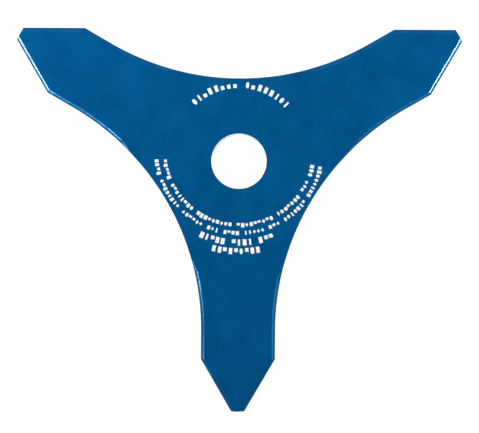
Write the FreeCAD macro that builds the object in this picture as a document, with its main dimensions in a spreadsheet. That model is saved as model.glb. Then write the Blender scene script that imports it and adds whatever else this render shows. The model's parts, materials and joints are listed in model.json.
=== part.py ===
"""Flat steel blade for a brush cutter, blanked from one plate.

Three like arms stand round a plain arbor bore. An arm has a straight neck and a pointed tooth with
a blunt tip. Both of its sides carry a cutting bevel, ground from one face: it follows the tooth and
the neck at one width, and runs out part of the way along the hollow to the next arm. The waist of
each hollow keeps its full thickness.

Half an arm is drawn, padded and ground. It is mirrored into an arm, which the pattern repeats.

Millimetres. The origin is the centre of the bore on the underside, +Z points out of the ground
face, and the first arm points along -Y.
"""

import FreeCAD
import Part
import Sketcher

import math
import os

NODE = "cutter_blade"
SHEET = "Dimensions"

# Driving dimensions: name, value, what it is.
DIMENSIONS = (
    ("arm_count", 3, "like arms round the bore"),
    ("cutting_circle", 255.0, "diameter of the circle that the corners of the tips sweep"),
    ("plate_thickness", 3.0, "thickness of the plate"),
    ("tip_width", 6.7, "width of the blunt tip"),
    ("tooth_angle", 60.0, "angle between the two edges of a tooth, degrees"),
    ("neck_width", 37.6, "width of the straight neck"),
    ("neck_length", 15.2, "straight neck, from the end of the hollow to the shoulder of the tooth"),
    ("bevel_width", 1.7, "width of the cutting bevel, measured in the face"),
    ("bevel_angle", 35.0, "slope of the cutting bevel against the face, degrees"),
    ("bevel_run_out", 36.0, "along the arm, from the neck back to where the bevel ends"),
    ("run_out_length", 6.5, "along the arm, over which the bevel narrows to nothing"),
    ("bore_diameter", 25.4, "arbor bore, one inch"),
    ("lead_in_width", 1.2, "width of the lead-in cone round the bore, seen from the ground face"),
    ("lead_in_angle", 90.0, "angle across the lead-in cone, degrees"),
)
value = {name: number for name, number, _ in DIMENSIONS}

# How far the grinding cut reaches past the tip and the neck, in thicknesses of the plate.
OVERREACH = 6

# Numbers that a sketch gives to a curve's ends and centre, to its own origin, and to the first
# three edges that it takes over from another sketch.
START, END, CENTRE = 1, 2, 3
ORIGIN = (-1, START)
TAKEN_OVER = (-3, -4, -5)


def add_dimensions(doc):
    """The sheet of driving dimensions, one alias for each."""
    sheet = doc.addObject("Spreadsheet::Sheet", SHEET)
    for row, (name, number, meaning) in enumerate(DIMENSIONS, start=1):
        sheet.set(f"A{row}", name)
        sheet.set(f"B{row}", str(number))
        sheet.set(f"C{row}", meaning)
        sheet.setAlias(f"B{row}", name)
    doc.recompute()


def half_arm_points():
    """Corners of the half arm at x > 0, and of the land inside its bevel."""
    half_sector = math.pi / value["arm_count"]
    half_tooth = math.radians(value["tooth_angle"] / 2)
    half_neck = value["neck_width"] / 2
    half_tip = value["tip_width"] / 2
    tip = math.sqrt((value["cutting_circle"] / 2) ** 2 - half_tip**2)
    shoulder = tip - (half_neck - half_tip) / math.tan(half_tooth)
    root = shoulder - value["neck_length"]
    hollow_centre = root / math.cos(half_sector)
    hollow_radius = hollow_centre * math.sin(half_sector) - half_neck
    waist = hollow_centre - hollow_radius

    # The land's side follows the hollow, then leaves it in a line that meets the hollow's edge.
    land = half_neck - value["bevel_width"]
    centre = half_neck + hollow_radius
    run_out = value["bevel_run_out"]
    edge = centre - math.sqrt(hollow_radius**2 - run_out**2)
    leaving = run_out - value["run_out_length"]
    side = centre - math.sqrt((centre - land) ** 2 - leaving**2)
    outside = half_neck + OVERREACH * value["plate_thickness"]
    top = leaving + (outside - side) * value["run_out_length"] / (edge - side)
    end = tip + OVERREACH * value["plate_thickness"]
    land_shoulder = shoulder - value["bevel_width"] * math.tan(half_tooth / 2)
    return {
        "waist": (waist * math.sin(half_sector), -waist * math.cos(half_sector)),
        "hollow_centre": (root * math.tan(half_sector), -root),
        "root": (half_neck, -root),
        "shoulder": (half_neck, -shoulder),
        "tip_corner": (half_tip, -tip),
        "tip_middle": (0.0, -tip),
        "run_out": (edge, run_out - root),
        "land_leaving": (side, leaving - root),
        "run_out_outside": (outside, top - root),
        "land_root": (land, -root),
        "land_shoulder": (land, -land_shoulder),
        "past_tip": (land - (end - land_shoulder) * math.tan(half_tooth), -end),
        "past_tip_outside": (outside, -end),
    }


def origin_feature(body, role):
    """A plane or axis of the body's own origin."""
    return next(item for item in body.Origin.OriginFeatures if item.Role == role)


def add_sketch(body, name, height=None):
    """An empty sketch on the body's XY plane, or at the height that an expression gives."""
    sketch = body.newObject("Sketcher::SketchObject", name)
    sketch.AttachmentSupport = [(origin_feature(body, "XY_Plane"), "")]
    sketch.MapMode = "FlatFace"
    if height:
        sketch.setExpression("AttachmentOffset.Base.z", height)
    return sketch


def constrain(sketch, *constraint):
    return sketch.addConstraint(Sketcher.Constraint(*constraint))


def dimension(sketch, name, expression, *constraint):
    """A named dimension of the sketch that follows the sheet."""
    index = constrain(sketch, *constraint)
    sketch.renameConstraint(index, name)
    sketch.setExpression(f"Constraints.{name}", expression)


def draw_line(sketch, first, last):
    ends = [FreeCAD.Vector(*point, 0) for point in (first, last)]
    return sketch.addGeometry(Part.LineSegment(*ends), False)


def draw_arc(sketch, centre, first, last):
    """The arc that runs anticlockwise from one point to the other."""
    angles = [math.atan2(y - centre[1], x - centre[0]) for x, y in (first, last)]
    if angles[1] < angles[0]:
        angles[1] += 2 * math.pi
    circle = Part.Circle(
        FreeCAD.Vector(*centre, 0), FreeCAD.Vector(0, 0, 1), math.dist(centre, first)
    )
    return sketch.addGeometry(Part.ArcOfCircle(circle, *angles), False)


def sketch_half_arm(body):
    """Outline of half an arm, with its share of the hub round the bore."""
    at = half_arm_points()
    sketch = add_sketch(body, "half_arm_outline")
    side = draw_line(sketch, (0.0, 0.0), at["waist"])
    hollow = draw_arc(sketch, at["hollow_centre"], at["waist"], at["root"])
    neck = draw_line(sketch, at["root"], at["shoulder"])
    tooth = draw_line(sketch, at["shoulder"], at["tip_corner"])
    tip = draw_line(sketch, at["tip_corner"], at["tip_middle"])
    middle = draw_line(sketch, at["tip_middle"], (0.0, 0.0))

    constrain(sketch, "Coincident", side, START, *ORIGIN)
    constrain(sketch, "Coincident", side, END, hollow, START)
    constrain(sketch, "Tangent", hollow, END, neck, START)
    for first, second in ((neck, tooth), (tooth, tip), (tip, middle), (middle, side)):
        constrain(sketch, "Coincident", first, END, second, START)
    constrain(sketch, "PointOnObject", hollow, CENTRE, side)
    constrain(sketch, "Vertical", middle)
    constrain(sketch, "Vertical", neck)
    constrain(sketch, "Horizontal", tip)

    half_sector = math.pi / value["arm_count"]
    half_tooth = math.radians(value["tooth_angle"] / 2)
    dimension(
        sketch, "half_sector", f"180 deg / {SHEET}.arm_count",
        "Angle", middle, END, side, START, half_sector,
    )
    dimension(
        sketch, "half_tooth", f"{SHEET}.tooth_angle * 1 deg / 2",
        "Angle", tooth, END, middle, START, half_tooth,
    )
    dimension(
        sketch, "half_neck", f"{SHEET}.neck_width / 2",
        "DistanceX", *ORIGIN, neck, START, value["neck_width"] / 2,
    )
    dimension(
        sketch, "neck_length", f"{SHEET}.neck_length",
        "DistanceY", neck, END, neck, START, value["neck_length"],
    )
    dimension(
        sketch, "half_tip", f"{SHEET}.tip_width / 2",
        "DistanceX", tip, END, tip, START, value["tip_width"] / 2,
    )
    dimension(
        sketch, "cutting_radius", f"{SHEET}.cutting_circle / 2",
        "Distance", *ORIGIN, tip, START, value["cutting_circle"] / 2,
    )
    return sketch


def sketch_ground_area(body, outline):
    """What the grinding takes off the face beside half an arm, bounded by the land that it leaves."""
    at = half_arm_points()
    sketch = add_sketch(body, "ground_area", f"{SHEET}.plate_thickness")
    for edge in ("Edge2", "Edge3", "Edge4"):
        sketch.addExternal(outline.Name, edge)
    hollow, neck, tooth = TAKEN_OVER

    land_hollow = draw_arc(sketch, at["hollow_centre"], at["land_leaving"], at["land_root"])
    land_neck = draw_line(sketch, at["land_root"], at["land_shoulder"])
    land_tooth = draw_line(sketch, at["land_shoulder"], at["past_tip"])
    past_tip = draw_line(sketch, at["past_tip"], at["past_tip_outside"])
    outside = draw_line(sketch, at["past_tip_outside"], at["run_out_outside"])
    run_out = draw_line(sketch, at["run_out_outside"], at["land_leaving"])
    meeting = sketch.addGeometry(Part.Point(FreeCAD.Vector(*at["run_out"], 0)), True)

    constrain(sketch, "Tangent", land_hollow, END, land_neck, START)
    for first, second in (
        (land_neck, land_tooth), (land_tooth, past_tip), (past_tip, outside), (outside, run_out),
        (run_out, land_hollow),
    ):
        constrain(sketch, "Coincident", first, END, second, START)
    constrain(sketch, "Coincident", land_hollow, CENTRE, hollow, CENTRE)
    constrain(sketch, "Parallel", land_neck, neck)
    constrain(sketch, "Parallel", land_tooth, tooth)
    constrain(sketch, "Horizontal", past_tip)
    constrain(sketch, "Vertical", outside)
    constrain(sketch, "PointOnObject", meeting, START, hollow)
    constrain(sketch, "PointOnObject", meeting, START, run_out)

    width = value["bevel_width"]
    dimension(
        sketch, "neck_bevel", f"{SHEET}.bevel_width", "Distance", neck, START, land_neck, width
    )
    dimension(
        sketch, "tooth_bevel", f"{SHEET}.bevel_width", "Distance", tooth, END, land_tooth, width
    )
    dimension(
        sketch, "run_out", f"{SHEET}.bevel_run_out",
        "DistanceY", neck, START, meeting, START, value["bevel_run_out"],
    )
    dimension(
        sketch, "run_out_length", f"{SHEET}.run_out_length",
        "DistanceY", run_out, END, meeting, START, value["run_out_length"],
    )
    overreach = OVERREACH * value["plate_thickness"]
    dimension(
        sketch, "past_tip", f"{OVERREACH} * {SHEET}.plate_thickness",
        "DistanceY", past_tip, START, tooth, END, overreach,
    )
    dimension(
        sketch, "past_neck", f"{OVERREACH} * {SHEET}.plate_thickness",
        "DistanceX", neck, START, outside, START, overreach,
    )
    return sketch


def sketch_bore(body):
    """Circle of the bore on the ground face."""
    sketch = add_sketch(body, "bore_circle", f"{SHEET}.plate_thickness")
    circle = Part.Circle(
        FreeCAD.Vector(0, 0, 0), FreeCAD.Vector(0, 0, 1), value["bore_diameter"] / 2
    )
    bore = sketch.addGeometry(circle, False)
    constrain(sketch, "Coincident", bore, CENTRE, *ORIGIN)
    dimension(
        sketch, "bore", f"{SHEET}.bore_diameter", "Diameter", bore, value["bore_diameter"]
    )
    return sketch


def add_feature(body, kind, name, bound, **settings):
    """A feature on top of the body so far, with its plain settings and those bound to the sheet."""
    feature = body.newObject(f"PartDesign::{kind}", name)
    for setting, given in settings.items():
        setattr(feature, setting, given)
    for setting, expression in bound.items():
        feature.setExpression(setting, expression)
    body.Tip = feature
    body.Document.recompute()
    return feature


def check_cut(before, after):
    """A cut that points away from the solid removes nothing and reports no error."""
    if after.Shape.Volume >= before.Shape.Volume:
        raise RuntimeError(f"{after.Name} removes nothing")


def make_blade(doc):
    """The blade: half an arm, ground, mirrored and repeated round the axis, then bored."""
    body = doc.addObject("PartDesign::Body", "Blade")
    body.Label = NODE

    outline = sketch_half_arm(body)
    doc.recompute()
    plate = add_feature(
        body, "Pad", "plate", {"Length": f"{SHEET}.plate_thickness"}, Profile=outline
    )

    # The walls of the ground area lean outwards on the way down, so they pass through the plate's
    # edge at the depth of the bevel and leave the land below.
    ground = sketch_ground_area(body, outline)
    doc.recompute()
    slope = {
        "Length": f"{SHEET}.plate_thickness",
        "TaperAngle": f"{SHEET}.bevel_angle * 1 deg - 90 deg",
    }
    bevel = add_feature(body, "Pocket", "bevel", slope, Profile=ground)
    check_cut(plate, bevel)

    mirror_plane = (origin_feature(body, "YZ_Plane"), [""])
    add_feature(
        body, "Mirrored", "arm", {}, TransformMode="Whole shape", MirrorPlane=mirror_plane
    )
    axis = (origin_feature(body, "Z_Axis"), [""])
    arms = add_feature(
        body, "PolarPattern", "arms", {"Occurrences": f"{SHEET}.arm_count"},
        TransformMode="Whole shape", Axis=axis, Angle=360,
    )

    circle = sketch_bore(body)
    doc.recompute()
    bore_sizes = {
        "Diameter": f"{SHEET}.bore_diameter",
        "HoleCutDiameter": f"{SHEET}.bore_diameter + 2 * {SHEET}.lead_in_width",
        "HoleCutCountersinkAngle": f"{SHEET}.lead_in_angle * 1 deg",
    }
    bore = add_feature(
        body, "Hole", "bore", bore_sizes,
        Profile=circle, DepthType="ThroughAll", HoleCutType="Countersink",
        HoleCutCustomValues=True,
    )
    check_cut(arms, bore)
    return body


def check_document(doc):
    """Stop if any object failed to compute, which a recompute doesn't report by itself."""
    failed = [item.Name for item in doc.Objects if {"Invalid", "Error"} & set(item.State)]
    if failed:
        raise RuntimeError(f"failed objects: {failed}")


def write_step(body):
    """The finished solid, in a file named for its node."""
    shape = body.Shape
    if shape.isNull() or not shape.isValid() or len(shape.Solids) != 1:
        raise RuntimeError(f"{body.Label} is not one valid solid")
    os.makedirs("parts", exist_ok=True)
    shape.exportStep(f"parts/{body.Label}.step")
    print(f"{body.Label}: {shape.Volume:.1f} mm3, {len(shape.Faces)} faces")


def main():
    doc = FreeCAD.newDocument("BrushCutterBlade")
    add_dimensions(doc)
    blade = make_blade(doc)
    check_document(doc)
    write_step(blade)


main()
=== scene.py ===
"""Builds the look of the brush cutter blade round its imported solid.

The blade gets softened edges and paint, its bore bare steel, its face printed marks, and the scene
a pale table, soft lights and the camera.
"""

import json
import math

import bmesh
import bpy
from mathutils import Euler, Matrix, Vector


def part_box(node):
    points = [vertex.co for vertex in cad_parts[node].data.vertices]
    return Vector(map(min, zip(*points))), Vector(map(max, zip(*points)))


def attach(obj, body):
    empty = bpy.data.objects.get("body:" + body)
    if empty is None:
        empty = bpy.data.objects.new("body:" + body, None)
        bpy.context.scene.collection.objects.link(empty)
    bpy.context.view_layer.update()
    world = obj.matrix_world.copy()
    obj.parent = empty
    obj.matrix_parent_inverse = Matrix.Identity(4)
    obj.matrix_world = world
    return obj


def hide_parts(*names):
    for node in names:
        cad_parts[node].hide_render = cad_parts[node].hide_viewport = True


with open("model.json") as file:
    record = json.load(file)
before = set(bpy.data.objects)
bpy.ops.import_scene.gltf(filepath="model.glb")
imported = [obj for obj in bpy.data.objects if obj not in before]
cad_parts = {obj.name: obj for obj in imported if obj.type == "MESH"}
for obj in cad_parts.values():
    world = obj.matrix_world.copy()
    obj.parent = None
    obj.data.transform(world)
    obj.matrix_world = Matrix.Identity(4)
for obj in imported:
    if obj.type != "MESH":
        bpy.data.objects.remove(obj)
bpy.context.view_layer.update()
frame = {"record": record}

bl_info = {
    "name": "Brush Cutter Blade",
    "version": (1, 0, 0),
    "blender": (4, 5, 0),
    "location": "3D View > Sidebar > Cutter Blade",
    "description": "Builds a painted three-armed brush cutter blade on a studio table",
    "category": "Object",
}

MM = 0.001
NODE = "cutter_blade"
BODY = "root"
LOW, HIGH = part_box(NODE)
BORE = next(mount for mount in frame["record"]["mounts"] if mount["name"] == "arbor_bore")
# Width of the camera's sensor in mm.
SENSOR_WIDTH = 36.0

# Points of an arm's mesh that are closer than this become one point.
SAME_POINT = 0.0005 * MM
# Meshes that meet are joined where their points are closer than this.
SEAM_GAP = 0.001 * MM

# How many steps each curved part of the mesh takes.
HOLLOW_STEPS = 12
RUN_OUT_STEPS = 6
GROUND_STEPS = 9
SHOULDER_STEPS = 6
TIP_STEPS = 5
BORE_STEPS = 48
UNDER_STEPS = 4
CREST_STEPS = 3
LAND_STEPS = 2
RIDGE_STEPS = 7

# Where columns of points stand along the straight stretches, as shares of their length.
NECK_SHARES = (0.35, 0.7)
TOOTH_SHARES = (0.3, 0.6, 0.85)

# Each line of print: name, radius of its foot in mm, first and last angle in degrees, then the
# marks' pitch, width and height in mm, the lowest mark's share of that height, and the seed.
PRINT_LINES = (
    ("upper line", 31.5, 41.5, 135.5, 3.0, 1.9, 3.3, 0.95, 2196),
    ("inner ring", 36.8, 187.0, 349.5, 2.08, 1.7, 2.4, 0.75, 1516),
    ("outer ring", 40.9, 186.0, 349.5, 2.09, 1.6, 2.3, 0.75, 3520),
    ("first short line", 45.1, 245.0, 292.5, 2.6, 2.0, 3.2, 0.95, 2974),
    ("second short line", 49.6, 254.5, 282.5, 2.6, 1.9, 3.2, 0.95, 336),
)


def length(name, millimetres, description):
    """A length property, kept in metres and given its default in millimetres."""
    return bpy.props.FloatProperty(
        name=name,
        description=description,
        default=millimetres * MM,
        min=0.0,
        precision=5,
        subtype="DISTANCE",
        unit="LENGTH",
    )


def angle(name, degrees, description):
    """An angle property, kept in radians and given its default in degrees."""
    return bpy.props.FloatProperty(
        name=name,
        description=description,
        default=math.radians(degrees),
        subtype="ANGLE",
        unit="ROTATION",
    )


def linear(hex_colour):
    """The linear colour, with alpha, of an sRGB hex value."""
    channels = []
    for start in (0, 2, 4):
        value = int(hex_colour[start:start + 2], 16) / 255
        channels.append(value / 12.92 if value <= 0.04045 else ((value + 0.055) / 1.055) ** 2.4)
    return (*channels, 1.0)


def colour(name, hex_colour, description):
    """A colour property whose default is an sRGB hex value."""
    return bpy.props.FloatVectorProperty(
        name=name,
        description=description,
        default=linear(hex_colour),
        size=4,
        min=0.0,
        max=1.0,
        subtype="COLOR",
    )


class BladeSizes(bpy.types.PropertyGroup):
    """Sizes of the blade, as the solid has them, and how soft its edges are."""

    arm_count: bpy.props.IntProperty(name="Arms", description="Arms round the bore", default=3, min=2)
    reach: length("Reach", -LOW.y / MM, "From the bore's axis to the flat end of a tooth")
    thickness: length("Thickness", (HIGH.z - LOW.z) / MM, "Thickness of the plate")
    tip_width: length("Tip width", 6.7, "Width of a tooth's flat end")
    tooth_angle: angle("Tooth angle", 60.0, "Angle between the two edges of a tooth")
    neck_width: length("Neck width", 37.6, "Width of an arm's straight neck")
    neck_length: length("Neck length", 15.2, "Length of an arm's straight neck")
    bevel_width: length("Bevel width", 1.7, "Width of the ground bevel, seen from above")
    bevel_angle: angle("Bevel angle", 35.0, "Slope of the ground bevel")
    bevel_run_out: length("Bevel run-out", 36.0, "How far past the neck the bevel ends")
    run_out_length: length("Run-out length", 6.5, "Length over which the bevel narrows to nothing")
    bore_diameter: length("Bore", 2 * BORE["dims"]["r_mm"], "Diameter of the arbor bore")
    lead_in_width: length("Lead-in width", 1.2, "Width of the lead-in round the bore")
    lead_in_slope: angle("Lead-in slope", 45.0, "Slope of the lead-in")
    land_width: length("Land width", 1.0, "Width of the steep strip outside the bevel")
    land_angle: angle("Land angle", 40.0, "Slope of the steep strip outside the bevel")
    edge_softness: length("Edge softness", 0.2, "Radius that blanking and paint leave on an edge")
    ridge_softness: length("Ridge softness", 0.12, "Radius where the bevel meets the face")
    shoulder_softness: length("Shoulder softness", 0.6, "Radius of a shoulder, seen from above")
    least_shoulder: length("Least shoulder", 0.25, "Least radius of a shoulder, further in")
    bore_softness: length("Bore softness", 0.15, "Radius of the edges in and round the bore")


class PrintSizes(bpy.types.PropertyGroup):
    """Sizes that all lines of print share."""

    centre: length("Centre", 5.5, "How far the print's centre lies from the bore's axis")
    gap_share: bpy.props.FloatProperty(
        name="Gaps", description="Share of the marks left out", default=0.12, min=0.0, max=1.0
    )
    film: length("Film", 0.03, "Thickness of the ink")


class BladeColours(bpy.types.PropertyGroup):
    """Colours of the blade's finishes."""

    paint: colour("Paint", "004D80", "Blue of the paint")
    paint_light: colour("Light paint", "01568B", "Blue where the paint is thinner")
    sheen: colour("Sheen", "BCEEFF", "Tint of what the paint reflects")
    # Lighter blue of the dust specks, partly a painted highlight for the glint each speck catches.
    speck_glint: colour("Speck", "4FA3CC", "Dust specks in the paint")
    ink: colour("Ink", "F4FBFC", "White of the print")
    steel: colour("Steel", "F1F3F4", "Bare turned steel")


class StudioSettings(bpy.types.PropertyGroup):
    """The table, the lights and the camera."""

    table_size: length("Table size", 2400.0, "Side of the square table")
    table_colour: colour("Table colour", "8E9092", "Colour of the table's top")
    lens: bpy.props.FloatProperty(name="Lens", description="Focal length in mm", default=220.0, min=1.0)
    lean: angle("Lean", 4.7, "How far the camera leans back from straight above")
    roll: angle("Roll", 0.31, "How far the camera is turned about its own axis")
    view_width: length("View width", 241.9, "Width of the table that the picture shows")
    view_centre_x: length("View centre across", 0.44, "Middle of the picture, across the blade")
    view_centre_y: bpy.props.FloatProperty(
        name="View centre along",
        description="Middle of the picture, along the blade",
        default=-27.96 * MM,
        precision=5,
        subtype="DISTANCE",
        unit="LENGTH",
    )


# Nodes

def add_node(tree, kind, inputs=None, **settings):
    """Adds a node with its settings, and gives its inputs values or other nodes' outputs."""
    node = tree.nodes.new(kind)
    for name, setting in settings.items():
        setattr(node, name, setting)
    for name, source in (inputs or {}).items():
        sources = source if isinstance(source, list) else [source]
        for one in sources:
            if isinstance(one, bpy.types.NodeSocket):
                tree.links.new(one, node.inputs[name])
            else:
                node.inputs[name].default_value = one
    return node


def new_geometry_tree(name, inputs):
    """A tree for a Geometry Nodes modifier, with its named inputs, and its two end nodes."""
    tree = bpy.data.node_groups.new(name, "GeometryNodeTree")
    tree.is_modifier = True
    tree.interface.new_socket("Geometry", in_out="INPUT", socket_type="NodeSocketGeometry")
    for socket_name, socket_type in inputs:
        tree.interface.new_socket(socket_name, in_out="INPUT", socket_type=socket_type)
    tree.interface.new_socket("Geometry", in_out="OUTPUT", socket_type="NodeSocketGeometry")
    start = add_node(tree, "NodeGroupInput")
    end = add_node(tree, "NodeGroupOutput")
    return tree, start, end


def add_tree_modifier(piece, tree, values):
    """Gives the piece a Geometry Nodes modifier and sets the tree's inputs by their identifiers."""
    modifier = piece.modifiers.new(tree.name, "NODES")
    modifier.node_group = tree
    for item in tree.interface.items_tree:
        if item.item_type == "SOCKET" and item.in_out == "INPUT" and item.name in values:
            modifier[item.identifier] = values[item.name]
    return modifier


def make_plain(piece):
    """Turns what the piece's modifiers make into its own mesh, and removes them."""
    bpy.context.view_layer.update()
    evaluated = piece.evaluated_get(bpy.context.evaluated_depsgraph_get())
    mesh = bpy.data.meshes.new_from_object(evaluated)
    piece.modifiers.clear()
    piece.data = mesh
    mesh.name = piece.name
    return mesh


def new_material(name):
    """An empty material and its tree."""
    material = bpy.data.materials.new(name)
    material.use_nodes = True
    material.node_tree.nodes.clear()
    return material, material.node_tree


def pattern_scale(size):
    """The Scale of a texture whose pattern is this many millimetres wide."""
    return 1 / (size * MM)


def finish_material(tree, shader):
    """Sends the shader to the material's output."""
    add_node(tree, "ShaderNodeOutputMaterial", {"Surface": shader.outputs[0]})


# Materials

def semi_gloss_paint(colours):
    """Blue enamel sprayed on blanked steel and stoved.

    Spraying leaves a fine orange peel, slightly uneven colour and gloss, and a few dust specks, whose lighter
    blue is a painted highlight for the glint each speck catches.
    The real peel is finer than a pixel, so it is drawn at about 1.5 mm.
    """
    material, tree = new_material("semi-gloss enamel on steel")
    place = add_node(tree, "ShaderNodeTexCoord").outputs["Object"]
    # Broad changes of colour, about 12 mm across, from uneven spraying.
    cloud = add_node(
        tree, "ShaderNodeTexNoise",
        {"Vector": place, "Scale": pattern_scale(12.5), "Detail": 4.0, "Roughness": 0.6},
    )
    cloud_share = add_node(
        tree, "ShaderNodeMapRange",
        {"Value": cloud.outputs["Fac"], "From Min": 0.35, "From Max": 0.65},
    )
    base = add_node(
        tree, "ShaderNodeMix",
        {0: cloud_share.outputs["Result"], 6: colours.paint, 7: colours.paint_light},
        data_type="RGBA",
    )
    # Dust specks, about 0.6 mm wide and a few centimetres apart, because few of the pattern's cells show one.
    # Their bumps are real, and their lighter colour is a painted highlight for the glint each speck catches.
    dust = add_node(tree, "ShaderNodeTexVoronoi", {"Vector": place, "Scale": pattern_scale(6.25)})
    dust_edge = add_node(
        tree, "ShaderNodeMapRange",
        {"Value": dust.outputs["Distance"], "From Min": 0.04, "From Max": 0.08, "To Min": 1.0, "To Max": 0.0},
    )
    dust_pick = add_node(tree, "ShaderNodeSeparateColor", {"Color": dust.outputs["Color"]})
    dust_few = add_node(
        tree, "ShaderNodeMath", {0: dust_pick.outputs[0], 1: 0.93}, operation="GREATER_THAN"
    )
    dust_and_glint_share = add_node(
        tree, "ShaderNodeMath", {0: dust_edge.outputs["Result"], 1: dust_few.outputs[0]},
        operation="MULTIPLY",
    )
    # Painted highlight: the dust specks take a lighter blue for the glint they catch.
    face = add_node(
        tree, "ShaderNodeMix",
        {0: dust_and_glint_share.outputs[0], 6: base.outputs[2], 7: colours.speck_glint},
        data_type="RGBA",
    )
    # Gloss changes with the cloud, a little.
    gloss = add_node(
        tree, "ShaderNodeMapRange", {"Value": cloud.outputs["Fac"], "To Min": 0.1, "To Max": 0.2}
    )
    # The walls were sheared, and the paint over their torn grain is matt.
    normal = add_node(tree, "ShaderNodeTexCoord").outputs["Normal"]
    upright = add_node(tree, "ShaderNodeSeparateXYZ", {0: normal})
    flatness = add_node(tree, "ShaderNodeMath", {0: upright.outputs["Z"]}, operation="ABSOLUTE")
    wall_share = add_node(
        tree, "ShaderNodeMapRange",
        {"Value": flatness.outputs[0], "From Min": 0.3, "From Max": 0.6, "To Min": 1.0, "To Max": 0.0},
    )
    roughness = add_node(
        tree, "ShaderNodeMix",
        {0: wall_share.outputs["Result"], 2: gloss.outputs["Result"], 3: 0.75},
        data_type="FLOAT",
    )
    stretched = add_node(
        tree, "ShaderNodeVectorMath", {0: place, 1: (1.0, 1.0, 0.12)}, operation="MULTIPLY"
    )
    tears = add_node(
        tree, "ShaderNodeTexNoise",
        {"Vector": stretched.outputs[0], "Scale": pattern_scale(0.5556), "Detail": 3.0},
    )
    tear_depth = add_node(
        tree, "ShaderNodeMath", {0: tears.outputs["Fac"], 1: wall_share.outputs["Result"]},
        operation="MULTIPLY",
    )
    # Slow waves from the rolling of the plate below the paint, and the paint's orange peel.
    waves = add_node(
        tree, "ShaderNodeTexNoise", {"Vector": place, "Scale": pattern_scale(9.091), "Detail": 2.0}
    )
    peel = add_node(
        tree, "ShaderNodeTexNoise", {"Vector": place, "Scale": pattern_scale(1.5385), "Detail": 1.0}
    )
    # The bevels were ground, and the grinder's marks show through their thin paint.
    bevel_share = add_node(
        tree, "ShaderNodeMapRange",
        {"Value": flatness.outputs[0], "From Min": 0.86, "From Max": 0.96, "To Min": 1.0, "To Max": 0.0},
    )
    marks = add_node(
        tree, "ShaderNodeTexNoise",
        {"Vector": place, "Scale": pattern_scale(1.25), "Detail": 2.0, "Roughness": 0.6},
    )
    mark_depth = add_node(
        tree, "ShaderNodeMath", {0: marks.outputs["Fac"], 1: bevel_share.outputs["Result"]},
        operation="MULTIPLY",
    )
    # Each layer of relief lies on the one before it. Each is a height and its depth in mm: waves,
    # peel, grinder's marks, dust specks and torn grain.
    relief = {}
    for height, depth in (
        (waves.outputs["Fac"], 0.08),
        (peel.outputs["Fac"], 0.02),
        (mark_depth.outputs[0], 0.03),
        (dust_and_glint_share.outputs[0], 0.05),
        (tear_depth.outputs[0], 0.12),
    ):
        layer = add_node(
            tree, "ShaderNodeBump", {"Height": height, "Strength": 1.0, "Distance": depth * MM, **relief}
        )
        relief = {"Normal": layer.outputs["Normal"]}
    shader = add_node(
        tree, "ShaderNodeBsdfPrincipled",
        {
            "Base Color": face.outputs[2],
            "Roughness": roughness.outputs[0],
            "IOR": 1.5,
            "Specular Tint": colours.sheen,
            **relief,
        },
    )
    finish_material(tree, shader)
    return material


def print_ink(colours):
    """White screen-printed ink.

    A screen lays a thin matt film with slightly uneven cover, so the blue shows through in places.
    """
    material, tree = new_material("screen-printed ink")
    place = add_node(tree, "ShaderNodeTexCoord").outputs["Object"]
    cover = add_node(
        tree, "ShaderNodeTexNoise",
        {"Vector": place, "Scale": pattern_scale(1.1111), "Detail": 3.0, "Roughness": 0.7},
    )
    worn = add_node(
        tree, "ShaderNodeMapRange",
        {"Value": cover.outputs["Fac"], "From Min": 0.6, "From Max": 0.78, "To Max": 0.3},
    )
    face = add_node(
        tree, "ShaderNodeMix",
        {0: worn.outputs["Result"], 6: colours.ink, 7: colours.paint_light},
        data_type="RGBA",
    )
    grain = add_node(
        tree, "ShaderNodeBump",
        {"Height": cover.outputs["Fac"], "Strength": 1.0, "Distance": 0.004 * MM},
    )
    shader = add_node(
        tree, "ShaderNodeBsdfPrincipled",
        {
            "Base Color": face.outputs[2],
            "Roughness": 0.5,
            "IOR": 1.48,
            "Normal": grain.outputs["Normal"],
        },
    )
    finish_material(tree, shader)
    return material


def bare_steel(colours):
    """Bare steel, turned after painting.

    Turning leaves fine rings round the axis, drawn about 0.4 mm apart so that they show.
    """
    material, tree = new_material("turned steel")
    place = add_node(tree, "ShaderNodeTexCoord").outputs["Object"]
    flat = add_node(tree, "ShaderNodeVectorMath", {0: place, 1: (1.0, 1.0, 0.0)}, operation="MULTIPLY")
    radius = add_node(tree, "ShaderNodeVectorMath", {0: flat.outputs[0]}, operation="LENGTH")
    height = add_node(tree, "ShaderNodeSeparateXYZ", {0: place})
    along = add_node(
        tree, "ShaderNodeMath", {0: radius.outputs["Value"], 1: height.outputs["Z"]}, operation="ADD"
    )
    rings = add_node(
        tree, "ShaderNodeTexNoise",
        {"W": along.outputs[0], "Scale": pattern_scale(0.4), "Detail": 2.0},
        noise_dimensions="1D",
    )
    groove = add_node(
        tree, "ShaderNodeBump",
        {"Height": rings.outputs["Fac"], "Strength": 1.0, "Distance": 0.006 * MM},
    )
    tone = add_node(
        tree, "ShaderNodeMapRange",
        {"Value": rings.outputs["Fac"], "To Min": 0.5, "To Max": 0.65},
    )
    shader = add_node(
        tree, "ShaderNodeBsdfPrincipled",
        {
            "Base Color": colours.steel,
            "Metallic": 0.35,
            "Roughness": tone.outputs["Result"],
            "Normal": groove.outputs["Normal"],
        },
    )
    finish_material(tree, shader)
    return material


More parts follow.
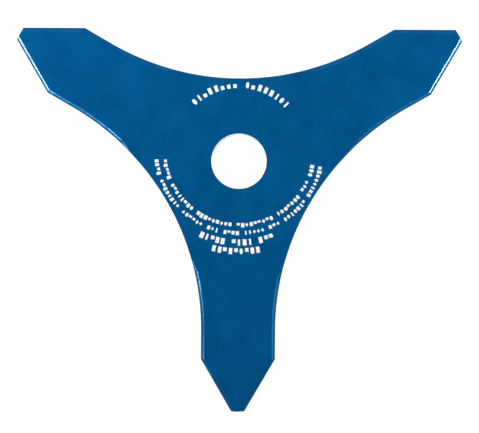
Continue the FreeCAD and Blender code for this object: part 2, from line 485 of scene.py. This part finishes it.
def table_top(settings):
    """Translucent white acrylic over lamps, as on a product photographer's light table.

    Light from below keeps it an even white and leaves the flat blade without a shadow.
    """
    material, tree = new_material("light table acrylic")
    place = add_node(tree, "ShaderNodeTexCoord").outputs["Object"]
    grain = add_node(
        tree, "ShaderNodeTexNoise", {"Vector": place, "Scale": pattern_scale(2.5), "Detail": 2.0}
    )
    gloss = add_node(
        tree, "ShaderNodeMapRange", {"Value": grain.outputs["Fac"], "To Min": 0.45, "To Max": 0.55}
    )
    shader = add_node(
        tree, "ShaderNodeBsdfPrincipled",
        {
            "Base Color": settings.table_colour,
            "Roughness": gloss.outputs["Result"],
            "IOR": 1.49,
            "Emission Color": (1.0, 1.0, 1.0, 1.0),
            "Emission Strength": 0.9,
        },
    )
    finish_material(tree, shader)
    return material


# The blade

def rounded_section(corners):
    """The outline of a section with rounded corners, from the underside round to the top.

    Each corner is (inset, height, first tilt, last tilt, radius, steps). A tilt is the angle of the
    surface's normal above the plane. Each point of the result is (inset of its arc's centre, height
    of that centre, radius, tilt).
    """
    section = []
    for inset, height, first, last, radius, steps in corners:
        middle = (first + last) / 2
        back = radius / math.cos((last - first) / 2)
        centre = (inset + back * math.cos(middle), height - back * math.sin(middle))
        for step in range(steps + 1):
            section.append((*centre, radius, first + (last - first) * step / steps))
    return section


def bevel_section(sizes, bevel):
    """The section of an arm's edge where its bevel has this width.

    Where the bevel runs out, the section goes over into one plain rounded corner.
    """
    soft = sizes.edge_softness
    upright = math.radians(90)
    land_tilt = upright - sizes.land_angle
    bevel_tilt = upright - sizes.bevel_angle
    land_top = sizes.thickness - (sizes.bevel_width - sizes.land_width) * math.tan(sizes.bevel_angle)
    land_foot = land_top - sizes.land_width * math.tan(sizes.land_angle)
    full = rounded_section((
        (0.0, 0.0, -upright, 0.0, soft, UNDER_STEPS),
        (0.0, land_foot, 0.0, land_tilt, soft, CREST_STEPS),
        (sizes.land_width, land_top, land_tilt, bevel_tilt, soft, LAND_STEPS),
        (sizes.bevel_width, sizes.thickness, bevel_tilt, upright, sizes.ridge_softness, RIDGE_STEPS),
    ))
    least = soft * (1 - math.tan(sizes.bevel_angle / 2))
    share = max(0.0, min(1.0, (bevel - least) / (sizes.bevel_width - least)))
    section = []
    for index, (inset, height, radius, tilt) in enumerate(full):
        plain_height = soft if index <= UNDER_STEPS else sizes.thickness - soft
        section.append((
            soft + (inset - soft) * share,
            plain_height + (height - plain_height) * share,
            soft + (radius - soft) * share,
            tilt,
        ))
    return section


def direction(turn):
    """The unit vector in the plane at this angle."""
    return Vector((math.cos(turn), math.sin(turn)))


def half_arm(sizes):
    """Columns of points along the edge of the arm's right half, from the waist to the tooth's end.

    The arm points along -Y. The columns at the end turn round into the tooth's flat end.
    """
    pitch = math.pi / sizes.arm_count
    half_angle = sizes.tooth_angle / 2
    half_tip = sizes.tip_width / 2
    half_neck = sizes.neck_width / 2
    shoulder = Vector((half_neck, -sizes.reach + (half_neck - half_tip) / math.tan(half_angle)))
    root_y = shoulder.y + sizes.neck_length
    centre = Vector((-root_y / math.tan(math.pi / 2 - pitch), root_y))
    hollow = centre.x - half_neck
    run_out, leaving = run_out_ends(sizes, hollow)
    columns = []

    def add_column(section, place, turn):
        """Adds one column: the section's points, each at place(inset) and its height."""
        column = []
        for inset, height, radius, tilt in section:
            spot = place(inset - radius * math.cos(tilt), turn)
            column.append(Vector((spot.x, spot.y, height + radius * math.sin(tilt))))
        columns.append(column)

    # The hollow, from the waist past the run-out and along the ground edge to the root of the neck.
    run_out_turn = -math.atan2(run_out.y, run_out.x)
    leaving_turn = -math.atan2(leaving.y, leaving.x)
    turns = []
    for first, last, steps in (
        (pitch - math.pi / 2, run_out_turn, HOLLOW_STEPS),
        (run_out_turn, leaving_turn, RUN_OUT_STEPS),
        (leaving_turn, 0.0, GROUND_STEPS),
    ):
        turns += [first + (last - first) * step / steps for step in range(steps)]
    for turn in turns + [0.0]:
        add_column(
            bevel_section(sizes, hollow_bevel(sizes, hollow, turn)),
            lambda inset, turn: centre - direction(turn) * (hollow + inset),
            turn,
        )

    full = bevel_section(sizes, sizes.bevel_width)
    # The neck.
    for share in NECK_SHARES:
        y = root_y - sizes.neck_length * share
        add_column(full, lambda inset, turn: Vector((half_neck - inset, y)), 0.0)

    # The shoulder: one centre for all turns, a smaller radius further in.
    def round_shoulder(inset, turn):
        radius = max(sizes.shoulder_softness - inset, sizes.least_shoulder)
        back = (inset + radius) / math.cos(half_angle / 2)
        return shoulder - direction(-half_angle / 2) * back + direction(turn) * radius

    for step in range(SHOULDER_STEPS + 1):
        add_column(full, round_shoulder, -half_angle * step / SHOULDER_STEPS)

    # The tooth's edge.
    edge = Vector((-math.sin(half_angle), -math.cos(half_angle)))
    for share in TOOTH_SHARES:
        spot = shoulder + edge * ((half_neck - half_tip) / math.sin(half_angle)) * share
        add_column(full, lambda inset, turn: spot - direction(turn) * inset, -half_angle)

    # The tooth's end: a ball rolls from the edge on to the flat end.
    ball = sizes.edge_softness
    outward = direction(-half_angle)
    for step in range(TIP_STEPS + 1):
        column = []
        for inset, height, radius, tilt in full:
            ball_inset = inset - (radius - ball) * math.cos(tilt)
            ball_height = height + (radius - ball) * math.sin(tilt)
            side = Vector((outward.x * math.cos(tilt), outward.y * math.cos(tilt), math.sin(tilt)))
            normal = side.slerp(Vector((0.0, -1.0, 0.0)), step / TIP_STEPS)
            x = half_tip + ball * math.tan(half_angle) - ball_inset / math.cos(half_angle)
            column.append(Vector((x, ball - sizes.reach, ball_height)) + normal * ball)
        columns.append(column)
    return columns


def run_out_ends(sizes, hollow):
    """Where the bevel ends on the hollow's edge, and where its inner edge leaves the full width.

    Both are seen from the hollow's centre: across the arm, then back along it.
    """
    full = hollow + sizes.bevel_width
    back = sizes.bevel_run_out
    near = back - sizes.run_out_length
    run_out = Vector((math.sqrt(hollow ** 2 - back ** 2), back))
    leaving = Vector((math.sqrt(full ** 2 - near ** 2), near))
    return run_out, leaving


def hollow_bevel(sizes, hollow, turn):
    """Width of the bevel where the hollow's normal has this turn."""
    # The bevel's inner edge follows the hollow, then leaves it in a line to the hollow's edge.
    run_out, leaving = run_out_ends(sizes, hollow)
    outward = direction(-turn)
    if (hollow + sizes.bevel_width) * outward.y <= leaving.y:
        return sizes.bevel_width
    normal = Vector((run_out.y - leaving.y, leaving.x - run_out.x))
    return max(normal.dot(run_out) / normal.dot(outward) - hollow, 0.0)


def arm_mesh(sizes):
    """One arm with its share of the ring round the bore, open where it meets its neighbours."""
    right = half_arm(sizes)
    left = []
    for column in right:
        left.append([Vector((-point.x, point.y, point.z)) for point in column])
    pitch = math.pi / sizes.arm_count
    upright = math.radians(90)
    cone_tilt = upright - sizes.lead_in_slope
    cone_foot = sizes.thickness - sizes.lead_in_width * math.tan(sizes.lead_in_slope)
    soft = sizes.bore_softness
    bore_section = rounded_section((
        (0.0, 0.0, -upright, 0.0, soft, UNDER_STEPS),
        (0.0, cone_foot, 0.0, cone_tilt, soft, CREST_STEPS),
        (sizes.lead_in_width, sizes.thickness, cone_tilt, upright, soft, RIDGE_STEPS),
    ))
    bore = []
    for step in range(BORE_STEPS + 1):
        outward = direction(-math.pi / 2 - pitch + 2 * pitch * step / BORE_STEPS)
        column = []
        for inset, height, radius, tilt in bore_section:
            reach = sizes.bore_diameter / 2 + inset - radius * math.cos(tilt)
            spot = outward * reach
            column.append(Vector((spot.x, spot.y, height + radius * math.sin(tilt))))
        bore.append(column)

    mesh = bmesh.new()
    machined = mesh.faces.layers.int.new("machined")
    chain = [[mesh.verts.new(point) for point in column] for column in left + right[::-1]]
    ring = [[mesh.verts.new(point) for point in column] for column in bore]
    for before, after in zip(chain, chain[1:]):
        for row in range(len(before) - 1):
            mesh.faces.new((before[row], after[row], after[row + 1], before[row + 1]))
    for before, after in zip(ring, ring[1:]):
        for row in range(len(before) - 1):
            face = mesh.faces.new((before[row], before[row + 1], after[row + 1], after[row]))
            face[machined] = 1

    # The rounded edges across the tooth's end, above and below.
    first = len(left) - TIP_STEPS - 1
    last = len(left) + TIP_STEPS
    for step in range(TIP_STEPS):
        near, far = chain[first + step], chain[last - step]
        near_next, far_next = chain[first + step + 1], chain[last - step - 1]
        mesh.faces.new((near[-1], near_next[-1], far_next[-1], far[-1]))
        mesh.faces.new((far[0], far_next[0], near_next[0], near[0]))

    # The two flat faces.
    border = chain[:first + 1] + chain[last:] + ring[::-1]
    top = mesh.faces.new([column[-1] for column in border])
    under = mesh.faces.new([column[0] for column in reversed(border)])
    bmesh.ops.triangulate(mesh, faces=[top, under], quad_method="BEAUTY", ngon_method="BEAUTY")
    bmesh.ops.remove_doubles(mesh, verts=mesh.verts, dist=SAME_POINT)
    arm = bpy.data.meshes.new("blade arm")
    mesh.to_mesh(arm)
    mesh.free()
    return arm


def arms_round_bore_tree():
    """A tree that turns copies of one arm round the bore, closes the seams and gives the finishes."""
    tree, start, end = new_geometry_tree(
        "Arms round the bore",
        (
            ("Arm count", "NodeSocketInt"),
            ("Seam gap", "NodeSocketFloat"),
            ("Paint", "NodeSocketMaterial"),
            ("Bare metal", "NodeSocketMaterial"),
        ),
    )
    points = add_node(tree, "GeometryNodePoints", {0: start.outputs["Arm count"]})
    index = add_node(tree, "GeometryNodeInputIndex")
    share = add_node(
        tree, "ShaderNodeMath", {0: index.outputs[0], 1: start.outputs["Arm count"]}, operation="DIVIDE"
    )
    turn = add_node(tree, "ShaderNodeMath", {0: share.outputs[0], 1: 2 * math.pi}, operation="MULTIPLY")
    euler = add_node(tree, "ShaderNodeCombineXYZ", {"Z": turn.outputs[0]})
    copies = add_node(
        tree, "GeometryNodeInstanceOnPoints",
        {
            "Points": points.outputs[0],
            "Instance": start.outputs["Geometry"],
            "Rotation": euler.outputs[0],
        },
    )
    real = add_node(tree, "GeometryNodeRealizeInstances", {0: copies.outputs[0]})
    closed = add_node(
        tree, "GeometryNodeMergeByDistance",
        {"Geometry": real.outputs[0], "Distance": start.outputs["Seam gap"]},
    )
    smooth = add_node(tree, "GeometryNodeSetShadeSmooth", {"Geometry": closed.outputs[0]})
    painted = add_node(
        tree, "GeometryNodeSetMaterial",
        {"Geometry": smooth.outputs[0], "Material": start.outputs["Paint"]},
    )
    machined = add_node(tree, "GeometryNodeInputNamedAttribute", {"Name": "machined"}, data_type="INT")
    bare = add_node(
        tree, "GeometryNodeSetMaterial",
        {
            "Geometry": painted.outputs[0],
            "Selection": machined.outputs["Attribute"],
            "Material": start.outputs["Bare metal"],
        },
    )
    tree.links.new(bare.outputs[0], end.inputs[0])
    return tree


# The print

def print_line_tree():
    """A tree that sets plain marks along an arc, leaves some out and gives them the ink's thickness."""
    tree, start, end = new_geometry_tree(
        "Printed marks along an arc",
        (
            ("Centre", "NodeSocketFloat"),
            ("Radius", "NodeSocketFloat"),
            ("First angle", "NodeSocketFloat"),
            ("Last angle", "NodeSocketFloat"),
            ("Pitch", "NodeSocketFloat"),
            ("Mark width", "NodeSocketFloat"),
            ("Mark height", "NodeSocketFloat"),
            ("Lowest share", "NodeSocketFloat"),
            ("Gap share", "NodeSocketFloat"),
            ("Face height", "NodeSocketFloat"),
            ("Film", "NodeSocketFloat"),
            ("Seed", "NodeSocketInt"),
            ("Ink", "NodeSocketMaterial"),
        ),
    )
    given = start.outputs

    # How many marks the arc holds.
    sweep = add_node(
        tree, "ShaderNodeMath", {0: given["Last angle"], 1: given["First angle"]}, operation="SUBTRACT"
    )
    arc = add_node(tree, "ShaderNodeMath", {0: sweep.outputs[0], 1: given["Radius"]}, operation="MULTIPLY")
    steps = add_node(tree, "ShaderNodeMath", {0: arc.outputs[0], 1: given["Pitch"]}, operation="DIVIDE")
    count = add_node(tree, "ShaderNodeMath", {0: steps.outputs[0]}, operation="ROUND")

    # One point for each mark, spread evenly over the arc and shifted a little at random.
    index = add_node(tree, "GeometryNodeInputIndex")
    shift = add_node(
        tree, "FunctionNodeRandomValue", {"Min": 0.45, "Max": 0.55, "Seed": given["Seed"]},
        data_type="FLOAT",
    )
    order = add_node(
        tree, "ShaderNodeMath", {0: index.outputs[0], 1: shift.outputs["Value"]}, operation="ADD"
    )
    share = add_node(tree, "ShaderNodeMath", {0: order.outputs[0], 1: count.outputs[0]}, operation="DIVIDE")
    turn = add_node(
        tree, "ShaderNodeMath",
        {0: share.outputs[0], 1: sweep.outputs[0], 2: given["First angle"]},
        operation="MULTIPLY_ADD",
    )
    cosine = add_node(tree, "ShaderNodeMath", {0: turn.outputs[0]}, operation="COSINE")
    sine = add_node(tree, "ShaderNodeMath", {0: turn.outputs[0]}, operation="SINE")
    across = add_node(
        tree, "ShaderNodeMath", {0: cosine.outputs[0], 1: given["Radius"]}, operation="MULTIPLY"
    )
    along = add_node(
        tree, "ShaderNodeMath", {0: sine.outputs[0], 1: given["Radius"], 2: given["Centre"]},
        operation="MULTIPLY_ADD",
    )
    spot = add_node(
        tree, "ShaderNodeCombineXYZ",
        {"X": across.outputs[0], "Y": along.outputs[0], "Z": given["Face height"]},
    )
    points = add_node(tree, "GeometryNodePoints", {0: count.outputs[0], 1: spot.outputs[0]})

    # The shapes stand on the line and are at most one unit wide and high: a full brick, a narrow
    # one, a low one, a disc and a diamond.
    shapes = []
    for width, height in ((1.0, 1.0), (0.55, 1.0), (1.0, 0.6)):
        outline = add_node(tree, "GeometryNodeCurvePrimitiveQuadrilateral", {0: width, 1: height})
        filled = add_node(tree, "GeometryNodeFillCurve", {0: outline.outputs[0]}, mode="NGONS")
        moved = add_node(
            tree, "GeometryNodeTransform",
            {"Geometry": filled.outputs[0], "Translation": (0.0, height / 2, 0.0)},
        )
        shapes.append(moved.outputs[0])
    for corners in (12, 4):
        flat = add_node(
            tree, "GeometryNodeMeshCircle", {"Vertices": corners, "Radius": 0.5}, fill_type="NGON"
        )
        moved = add_node(
            tree, "GeometryNodeTransform",
            {"Geometry": flat.outputs[0], "Translation": (0.0, 0.5, 0.0)},
        )
        shapes.append(moved.outputs[0])
    choice = add_node(tree, "GeometryNodeGeometryToInstance", {0: shapes})

    # What differs from mark to mark, each from a seed of its own: the number of the shape, which is
    # rounded down and so stays just below their count, whether the mark is left out, and its shares
    # of the full width and height.
    changes = []
    for offset, least, most in (
        (1, 0.0, len(shapes) - 0.001),
        (2, 0.0, 1.0),
        (3, 0.85, 1.0),
        (4, given["Lowest share"], 1.0),
    ):
        seed = add_node(tree, "ShaderNodeMath", {0: given["Seed"], 1: float(offset)}, operation="ADD")
        change = add_node(
            tree, "FunctionNodeRandomValue", {"Min": least, "Max": most, "Seed": seed.outputs[0]},
            data_type="FLOAT",
        )
        changes.append(change.outputs["Value"])
    kind = add_node(tree, "ShaderNodeMath", {0: changes[0]}, operation="FLOOR")
    shown = add_node(
        tree, "ShaderNodeMath", {0: changes[1], 1: given["Gap share"]}, operation="GREATER_THAN"
    )
    wide = add_node(tree, "ShaderNodeMath", {0: given["Mark width"], 1: changes[2]}, operation="MULTIPLY")
    high = add_node(tree, "ShaderNodeMath", {0: given["Mark height"], 1: changes[3]}, operation="MULTIPLY")
    size = add_node(tree, "ShaderNodeCombineXYZ", {"X": wide.outputs[0], "Y": high.outputs[0], "Z": 1.0})
    lean = add_node(tree, "ShaderNodeMath", {0: turn.outputs[0], 1: math.pi / 2}, operation="SUBTRACT")
    euler = add_node(tree, "ShaderNodeCombineXYZ", {"Z": lean.outputs[0]})
    copies = add_node(
        tree, "GeometryNodeInstanceOnPoints",
        {
            "Points": points.outputs[0],
            "Selection": shown.outputs[0],
            "Instance": choice.outputs[0],
            "Pick Instance": True,
            "Instance Index": kind.outputs[0],
            "Rotation": euler.outputs[0],
            "Scale": size.outputs[0],
        },
    )
    flat_marks = add_node(tree, "GeometryNodeRealizeInstances", {0: copies.outputs[0]})
    rise = add_node(tree, "ShaderNodeCombineXYZ", {"Z": given["Film"]})
    raised = add_node(
        tree, "GeometryNodeExtrudeMesh",
        {"Mesh": flat_marks.outputs[0], "Offset": rise.outputs[0], "Offset Scale": 1.0, "Individual": False},
        mode="FACES",
    )
    under = add_node(tree, "GeometryNodeFlipFaces", {0: flat_marks.outputs[0]})
    both = add_node(tree, "GeometryNodeJoinGeometry", {0: [raised.outputs[0], under.outputs[0]]})
    closed = add_node(
        tree, "GeometryNodeMergeByDistance", {"Geometry": both.outputs[0], "Distance": SEAM_GAP}
    )
    inked = add_node(
        tree, "GeometryNodeSetMaterial", {"Geometry": closed.outputs[0], "Material": given["Ink"]}
    )
    joined = add_node(tree, "GeometryNodeJoinGeometry", {0: [given["Geometry"], inked.outputs[0]]})
    tree.links.new(joined.outputs[0], end.inputs[0])
    return tree


# Operators

class OBJECT_OT_cutter_blade(bpy.types.Operator):
    """Makes the painted blade, which stands for the solid"""

    bl_idname = "object.make_cutter_blade"
    bl_label = "Blade"
    bl_options = {"REGISTER", "UNDO"}

    def execute(self, context):
        sizes = context.scene.blade_sizes
        colours = context.scene.blade_colours
        blade = bpy.data.objects.new("painted_blade", arm_mesh(sizes))
        context.scene.collection.objects.link(blade)
        add_tree_modifier(
            blade,
            arms_round_bore_tree(),
            {
                "Arm count": sizes.arm_count,
                "Seam gap": SEAM_GAP,
                "Paint": semi_gloss_paint(colours),
                "Bare metal": bare_steel(colours),
            },
        )
        # The flats keep their own normals, so that only the rounded edges turn the light.
        flats = blade.modifiers.new("Flats keep their normals", "WEIGHTED_NORMAL")
        flats.mode = "FACE_AREA"
        flats.weight = 100
        flats.keep_sharp = False
        mesh = make_plain(blade)
        open_edges = open_edge_count(mesh)
        if open_edges:
            raise RuntimeError(f"the blade's mesh has {open_edges} open edges")
        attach(blade, BODY)
        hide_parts(NODE)
        return {"FINISHED"}


class OBJECT_OT_print_marks(bpy.types.Operator):
    """Makes the lines of plain printed marks on the blade's face"""

    bl_idname = "object.make_print_marks"
    bl_label = "Printed marks"
    bl_options = {"REGISTER", "UNDO"}

    def execute(self, context):
        sizes = context.scene.blade_sizes
        shared = context.scene.blade_print
        ink = print_ink(context.scene.blade_colours)
        marks = bpy.data.objects.new("printed_marks", bpy.data.meshes.new("printed marks"))
        context.scene.collection.objects.link(marks)
        tree = print_line_tree()
        for name, radius, first, last, pitch, width, height, lowest, seed in PRINT_LINES:
            modifier = add_tree_modifier(
                marks,
                tree,
                {
                    "Centre": shared.centre,
                    "Radius": radius * MM,
                    "First angle": math.radians(first),
                    "Last angle": math.radians(last),
                    "Pitch": pitch * MM,
                    "Mark width": width * MM,
                    "Mark height": height * MM,
                    "Lowest share": lowest,
                    "Gap share": shared.gap_share,
                    "Face height": sizes.thickness,
                    "Film": shared.film,
                    "Seed": seed,
                    "Ink": ink,
                },
            )
            modifier.name = name
        mesh = make_plain(marks)
        if not mesh.polygons:
            raise RuntimeError("no printed marks were made")
        point_outwards(mesh)
        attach(marks, BODY)
        return {"FINISHED"}


class SCENE_OT_blade_studio(bpy.types.Operator):
    """Makes the table, the lights and the camera"""

    bl_idname = "scene.make_blade_studio"
    bl_label = "Studio"
    bl_options = {"REGISTER", "UNDO"}

    def execute(self, context):
        scene = context.scene
        settings = scene.blade_studio
        make_table(scene, settings)
        make_lights(scene)
        make_room(scene)
        make_camera(scene, settings)
        scene.view_settings.view_transform = "Standard"
        return {"FINISHED"}


def open_edge_count(mesh):
    """How many edges of the mesh don't lie between exactly two faces."""
    counts = {}
    for polygon in mesh.polygons:
        for key in polygon.edge_keys:
            counts[key] = counts.get(key, 0) + 1
    return sum(count != 2 for count in counts.values())


def point_outwards(mesh):
    """Turns the faces of closed shells outwards."""
    shell = bmesh.new()
    shell.from_mesh(mesh)
    bmesh.ops.recalc_face_normals(shell, faces=shell.faces)
    shell.to_mesh(mesh)
    shell.free()


def make_table(scene, settings):
    """The table's top, a flat square."""
    half = settings.table_size / 2
    # The top lies a hair below the blade, so that the two faces don't coincide.
    top = -0.05 * MM
    mesh = bpy.data.meshes.new("table")
    corners = ((-half, -half, top), (half, -half, top), (half, half, top), (-half, half, top))
    mesh.from_pydata(corners, [], [(0, 1, 2, 3)])
    mesh.materials.append(table_top(settings))
    table = bpy.data.objects.new("table", mesh)
    scene.collection.objects.link(table)


def make_lights(scene):
    """Soft lights round the blade, and small low ones for its bevels and bore."""
    # Each lamp: name, place, what it points at, width, height, all in mm, brightness of its face,
    # and its colour, plain white or a cool blue.
    plain = (1.0, 1.0, 1.0)
    cool = (0.25, 0.8, 1.0)
    lamps = (
        ("top soft light", (-30.0, 400.0, 490.0), (0.0, 0.0, 0.0), 640.0, 500.0, 3.45, plain),
        ("front light", (0.0, -330.0, 330.0), (0.0, -40.0, 0.0), 240.0, 160.0, 1.5, plain),
        ("low front light", (0.0, -600.0, 84.0), (0.0, 12.0, 3.0), 240.0, 60.0, 17.0, plain),
        ("left side light", (-280.0, 60.0, 170.0), (-60.0, 30.0, 0.0), 200.0, 150.0, 3.8, plain),
        ("right side light", (280.0, 60.0, 170.0), (60.0, 30.0, 0.0), 200.0, 150.0, 2.8, plain),
        ("left tooth light", (-254.0, -37.0, 52.0), (-104.0, 48.0, 0.0), 66.0, 16.0, 42.0, plain),
        ("right tooth light", (254.0, -37.0, 52.0), (104.0, 48.0, 0.0), 66.0, 16.0, 42.0, plain),
        ("left arm light", (-241.0, -213.0, 87.0), (-82.0, 27.0, 0.0), 34.0, 16.0, 14.0, cool),
        ("left shoulder light", (-256.0, -204.0, 87.0), (-88.0, 30.0, 0.0), 16.0, 16.0, 60.0, cool),
        ("left hollow light", (-294.0, -153.0, 88.0), (-55.0, 8.0, 0.0), 28.0, 16.0, 50.0, cool),
        ("lower left light", (-296.0, -137.0, 99.0), (-18.0, -85.0, 0.0), 32.0, 18.0, 9.0, cool),
        ("lower right light", (296.0, -135.0, 101.0), (18.0, -85.0, 0.0), 44.0, 18.0, 8.0, cool),
        ("right arm light", (243.0, -211.0, 87.0), (82.0, 27.0, 0.0), 40.0, 16.0, 6.0, cool),
    )
    for name, place, target, width, height, brightness, tint in lamps:
        light = bpy.data.lights.new(name, "AREA")
        light.shape = "RECTANGLE"
        light.size = width * MM
        light.size_y = height * MM
        light.energy = brightness * math.pi * light.size * light.size_y
        light.color = tint
        lamp = bpy.data.objects.new(name, light)
        lamp.location = Vector(place) * MM
        lamp.rotation_euler = (Vector(target) * MM - lamp.location).to_track_quat("-Z", "Y").to_euler()
        lamp.visible_camera = False
        scene.collection.objects.link(lamp)


def make_room(scene):
    """The room round the table.

    Its walls are pale at table height and dim above, and its ceiling is dark, so the flat face stays
    a deep blue.
    """
    room = bpy.data.worlds.new("room")
    room.use_nodes = True
    tree = room.node_tree
    tree.nodes.clear()
    toward = add_node(tree, "ShaderNodeTexCoord").outputs["Generated"]
    rise = add_node(tree, "ShaderNodeSeparateXYZ", {0: toward})
    upper = add_node(
        tree, "ShaderNodeMapRange",
        {
            "Value": rise.outputs["Z"],
            "From Min": 0.4,
            "From Max": 0.9,
            "To Min": 0.1,
            "To Max": 0.03,
        },
    )
    lower = add_node(
        tree, "ShaderNodeMapRange",
        {
            "Value": rise.outputs["Z"],
            "From Min": 0.0,
            "From Max": 0.06,
            "To Min": 0.75,
            "To Max": 0.0,
        },
    )
    strength = add_node(
        tree, "ShaderNodeMath", {0: upper.outputs["Result"], 1: lower.outputs["Result"]},
        operation="ADD",
    )
    glow = add_node(
        tree, "ShaderNodeBackground",
        {"Color": (0.9, 0.95, 1.0, 1.0), "Strength": strength.outputs[0]},
    )
    add_node(tree, "ShaderNodeOutputWorld", {"Surface": glow.outputs[0]})
    scene.world = room


def make_camera(scene, settings):
    """The camera, a long lens above the blade."""
    lens = bpy.data.cameras.new("camera")
    lens.lens = settings.lens
    lens.sensor_width = SENSOR_WIDTH
    camera = bpy.data.objects.new("camera", lens)
    distance = settings.view_width * settings.lens / SENSOR_WIDTH
    turn = Euler((-settings.lean, 0.0, settings.roll))
    middle = Vector((settings.view_centre_x, settings.view_centre_y, HIGH.z))
    camera.location = middle + turn.to_matrix() @ Vector((0.0, 0.0, distance))
    camera.rotation_euler = turn
    lens.clip_start = distance * 0.05
    lens.clip_end = distance * 20
    scene.collection.objects.link(camera)
    scene.camera = camera


class VIEW3D_PT_cutter_blade(bpy.types.Panel):
    """Lists the blade's settings and the steps that make it"""

    bl_idname = "VIEW3D_PT_cutter_blade"
    bl_label = "Cutter Blade"
    bl_space_type = "VIEW_3D"
    bl_region_type = "UI"
    bl_category = "Cutter Blade"

    def draw(self, context):
        scene = context.scene
        groups = (
            (scene.blade_sizes, OBJECT_OT_cutter_blade),
            (scene.blade_print, OBJECT_OT_print_marks),
            (scene.blade_colours, None),
            (scene.blade_studio, SCENE_OT_blade_studio),
        )
        for group, operator in groups:
            box = self.layout.box()
            for name in type(group).__annotations__:
                box.prop(group, name)
            if operator:
                box.operator(operator.bl_idname)


CLASSES = (
    BladeSizes,
    PrintSizes,
    BladeColours,
    StudioSettings,
    OBJECT_OT_cutter_blade,
    OBJECT_OT_print_marks,
    SCENE_OT_blade_studio,
    VIEW3D_PT_cutter_blade,
)


def register():
    """Registers the classes and hangs the settings on the scene."""
    for entry in CLASSES:
        bpy.utils.register_class(entry)
    bpy.types.Scene.blade_sizes = bpy.props.PointerProperty(type=BladeSizes)
    bpy.types.Scene.blade_print = bpy.props.PointerProperty(type=PrintSizes)
    bpy.types.Scene.blade_colours = bpy.props.PointerProperty(type=BladeColours)
    bpy.types.Scene.blade_studio = bpy.props.PointerProperty(type=StudioSettings)


def unregister():
    """Takes the settings and the classes away again."""
    del bpy.types.Scene.blade_studio
    del bpy.types.Scene.blade_colours
    del bpy.types.Scene.blade_print
    del bpy.types.Scene.blade_sizes
    for entry in reversed(CLASSES):
        bpy.utils.unregister_class(entry)


def main():
    """Makes everything in order."""
    register()
    bpy.ops.object.make_cutter_blade()
    bpy.ops.object.make_print_marks()
    bpy.ops.scene.make_blade_studio()


if __name__ == "__main__":
    main()
